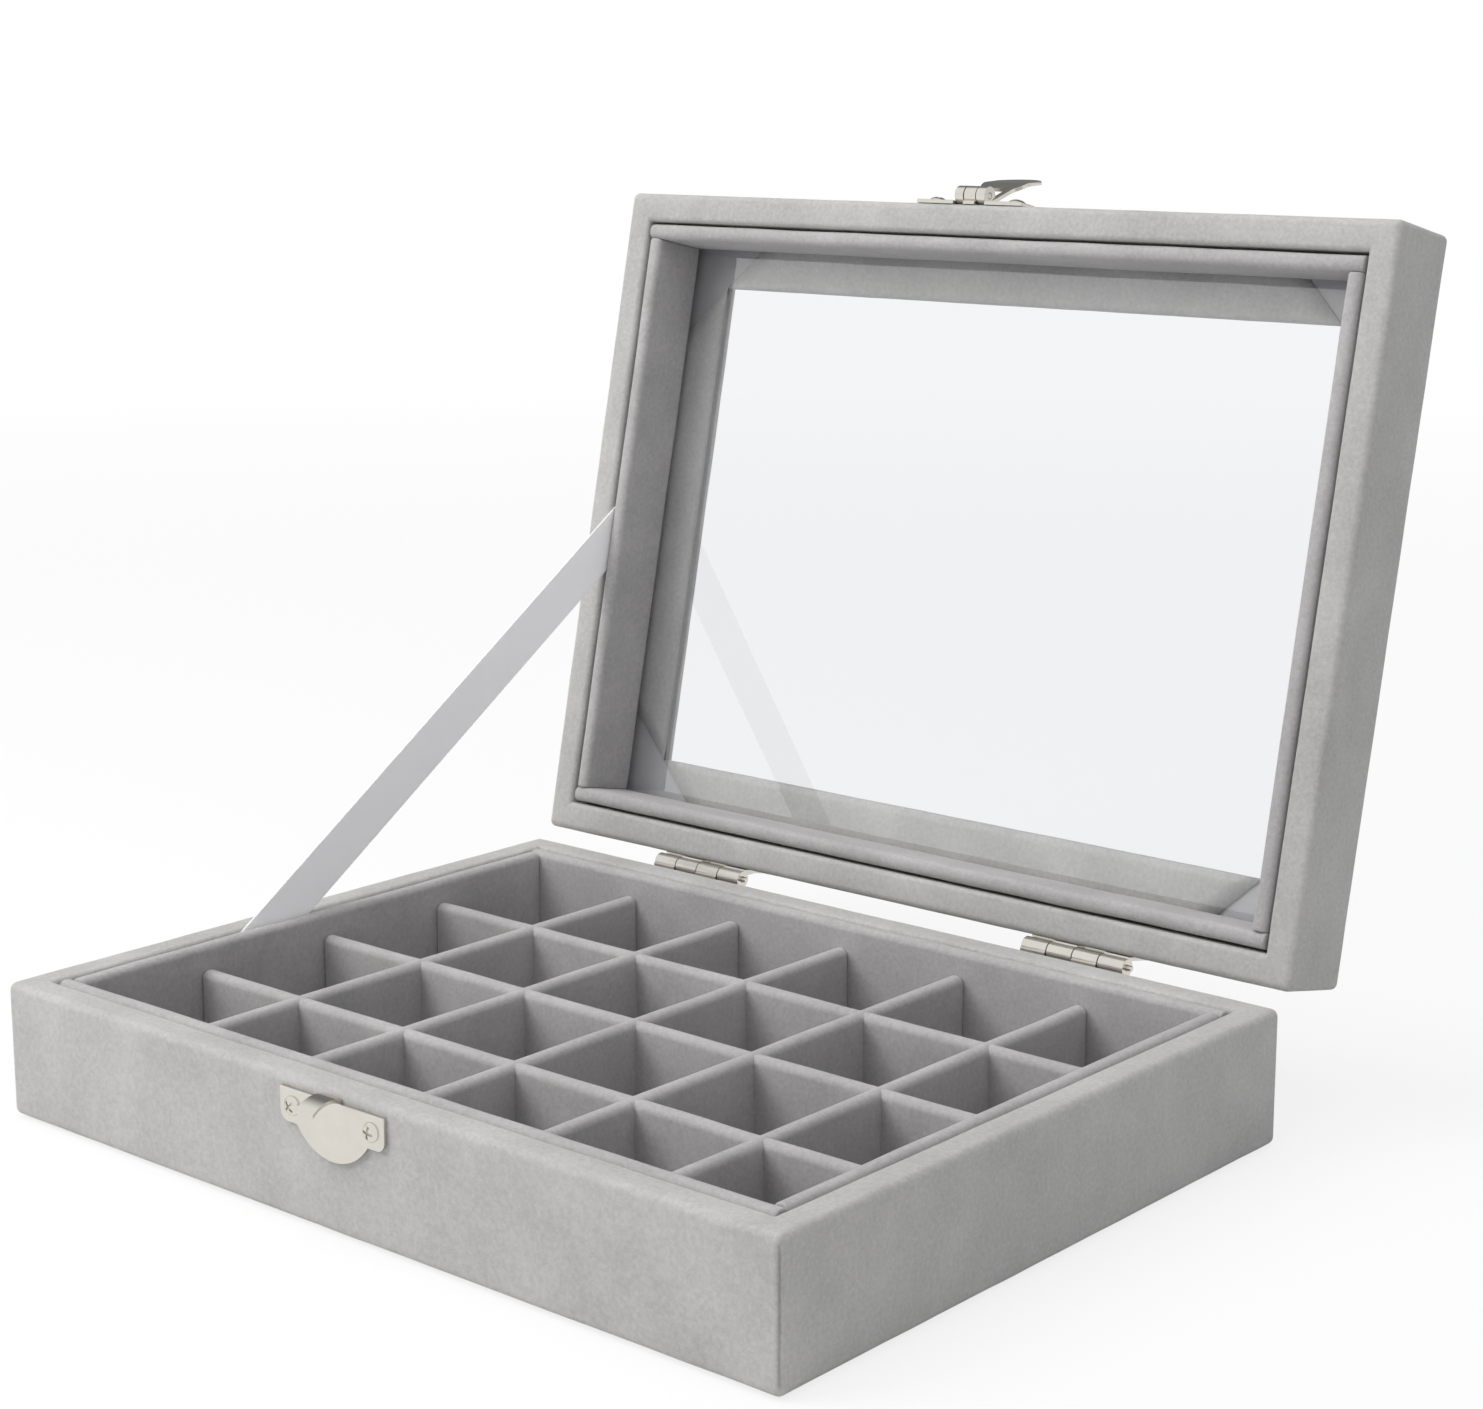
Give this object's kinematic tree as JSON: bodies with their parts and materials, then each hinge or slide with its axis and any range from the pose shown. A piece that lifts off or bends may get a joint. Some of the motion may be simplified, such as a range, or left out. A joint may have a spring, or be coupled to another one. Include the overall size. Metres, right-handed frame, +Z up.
{
  "type": "earring organizer",
  "caption": "Velvet-covered display case of square cells with a hinged glass lid, ribbon stay and hasp latch, for earrings and rings.",
  "frame": {"origin": "centre of the case's bottom face, on the surface that it stands on", "axes": "+X to the right along the latch side, +Y from the latch to the hinges, +Z up; the lid stands open on its ribbon"},
  "size_m": [0.2, 0.2135, 0.1814],
  "materials": {
    "grey_velvet": "short pile velvet",
    "fibre_board": "raw fibre board",
    "panel_board": "paper-faced fibre board",
    "lining_paper": "flocked paper",
    "clear_glass": "clear polished",
    "satin_ribbon": "satin ribbon",
    "nickel_plate": "nickel-plated stamped steel"
  },
  "bodies": {
    "case": {"case_front_wall": "fibre_board", "case_back_wall": "fibre_board", "case_left_wall": "fibre_board", "case_right_wall": "fibre_board", "case_bottom_board": "fibre_board", "case_velvet_wrap": "grey_velvet", "bottom_lining": "lining_paper", "floor_pad": "grey_velvet", "case_liner_front": "grey_velvet", "case_liner_back": "grey_velvet", "case_liner_left": "grey_velvet", "case_liner_right": "grey_velvet", "long_divider_1": "grey_velvet", "long_divider_2": "grey_velvet", "long_divider_3": "grey_velvet", "short_divider_1": "grey_velvet", "short_divider_2": "grey_velvet", "short_divider_3": "grey_velvet", "short_divider_4": "grey_velvet", "short_divider_5": "grey_velvet", "catch_plate": "nickel_plate", "catch_screws": "nickel_plate", "hinge_case_leaf_left": "nickel_plate", "hinge_case_leaf_right": "nickel_plate", "hinge_case_screws": "nickel_plate", "hinge_pin_left": "nickel_plate", "hinge_pin_right": "nickel_plate", "ribbon_stay": "satin_ribbon"},
    "lid": {"lid_front_wall": "fibre_board", "lid_back_wall": "fibre_board", "lid_left_wall": "fibre_board", "lid_right_wall": "fibre_board", "lid_top_panel": "panel_board", "lid_velvet_wrap": "grey_velvet", "glass_pane": "clear_glass", "lid_liner_front": "grey_velvet", "lid_liner_back": "grey_velvet", "lid_liner_left": "grey_velvet", "lid_liner_right": "grey_velvet", "hinge_lid_leaf_left": "nickel_plate", "hinge_lid_leaf_right": "nickel_plate", "hinge_lid_screws": "nickel_plate", "hasp_plate": "nickel_plate", "hasp_screws": "nickel_plate", "hasp_pin": "nickel_plate"},
    "tongue": {"hasp_tongue": "nickel_plate"}
  },
  "joints": [
    {"name": "lid_hinge", "type": "hinge", "parent": "case", "child": "lid", "pos_m": [0, 0.0772, 0.02815], "axis": [1, 0, 0], "range_deg": [0, 102], "deforming": ["ribbon_stay"]},
    {"name": "tongue_hinge", "type": "hinge", "parent": "lid", "child": "tongue", "pos_m": [-0.0032, 0.11209, 0.17858], "axis": [1, 0, 0], "range_deg": [0, 150]}
  ]
}
